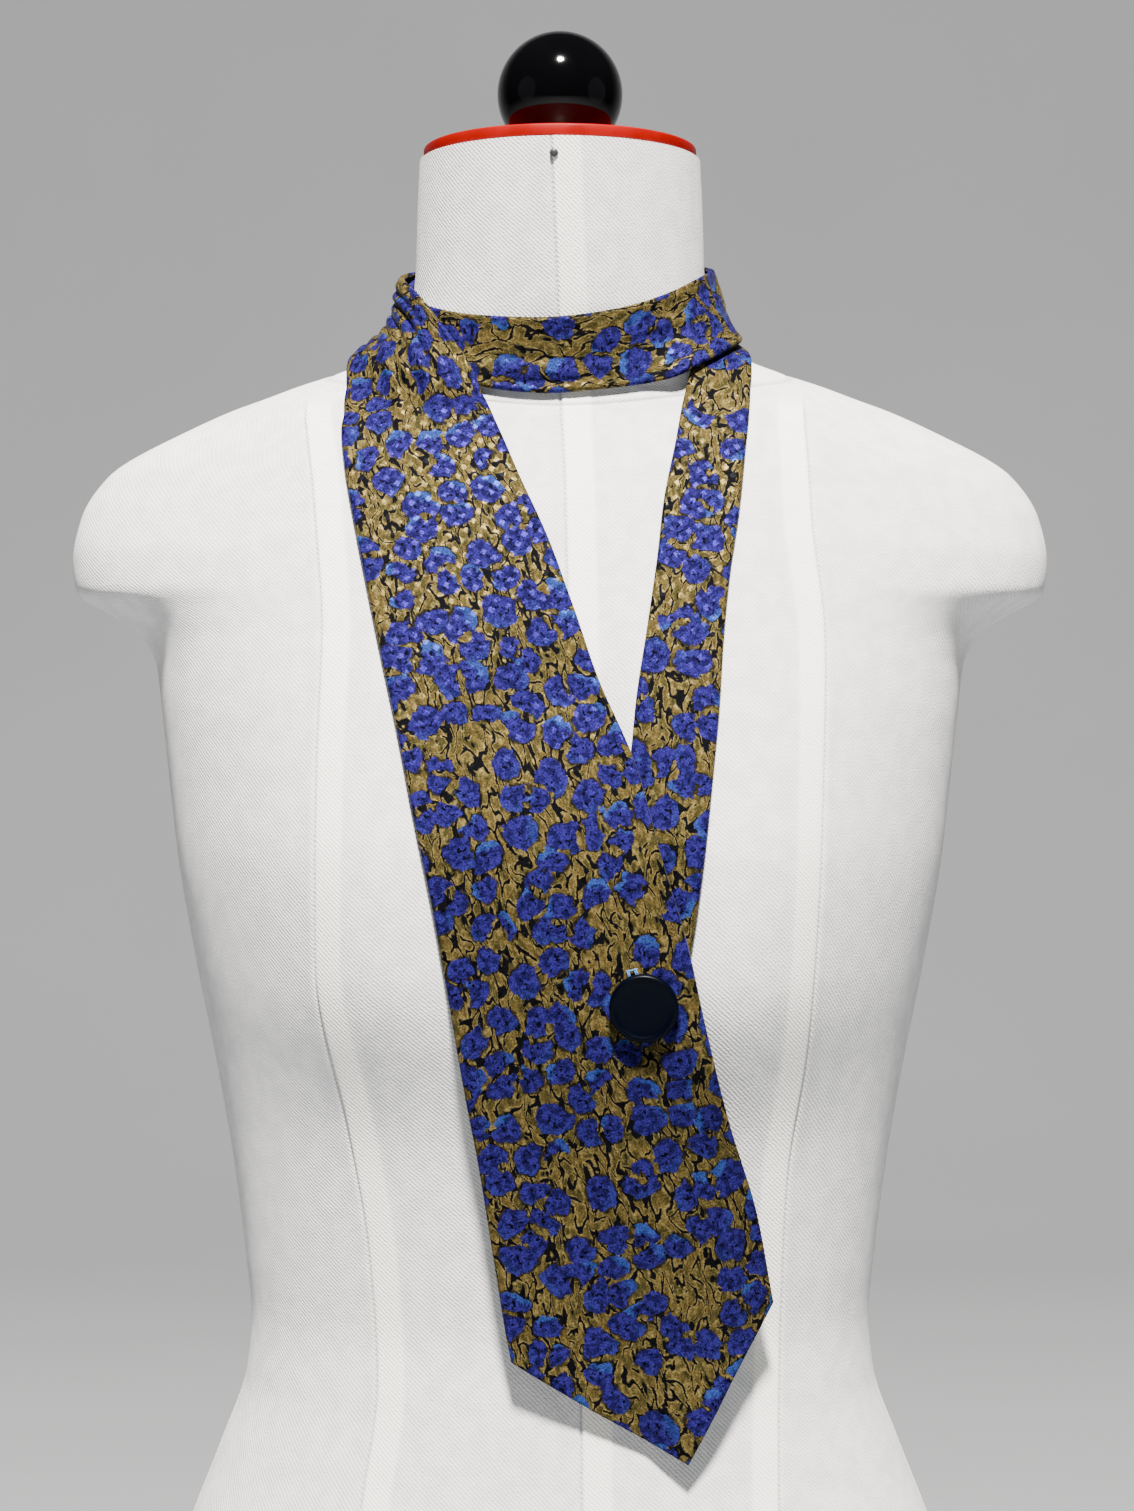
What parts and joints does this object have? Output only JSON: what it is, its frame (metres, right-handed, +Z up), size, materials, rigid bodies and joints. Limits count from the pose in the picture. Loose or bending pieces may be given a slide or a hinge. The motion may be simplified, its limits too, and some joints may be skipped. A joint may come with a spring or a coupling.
{
  "type": "cravat on a dress form",
  "caption": "Folded silk cravat wound round the neck of a limbless dress form, its pointed blade buttoned over the narrow end.",
  "frame": {"origin": "middle of the form's flat base, on the surface it stands on", "axes": "+Z up through the neck, -Y towards the chest, +X to the right of someone facing the chest"},
  "size_m": [0.3934, 0.237, 0.7451],
  "materials": {
    "silk": "printed silk twill with a satin check",
    "cover": "tight matte cotton jersey",
    "plate": "red gloss lacquer",
    "knob": "polished black",
    "button": "satin black"
  },
  "bodies": {
    "root": {"form_torso": "cover", "neck_plate": "plate", "ball_knob": "knob", "narrow_strip": "silk", "neck_wrap_inner": "silk", "neck_band_front": "silk", "neck_wrap_outer": "silk", "wide_blade": "silk", "button": "button"}
  },
  "joints": []
}
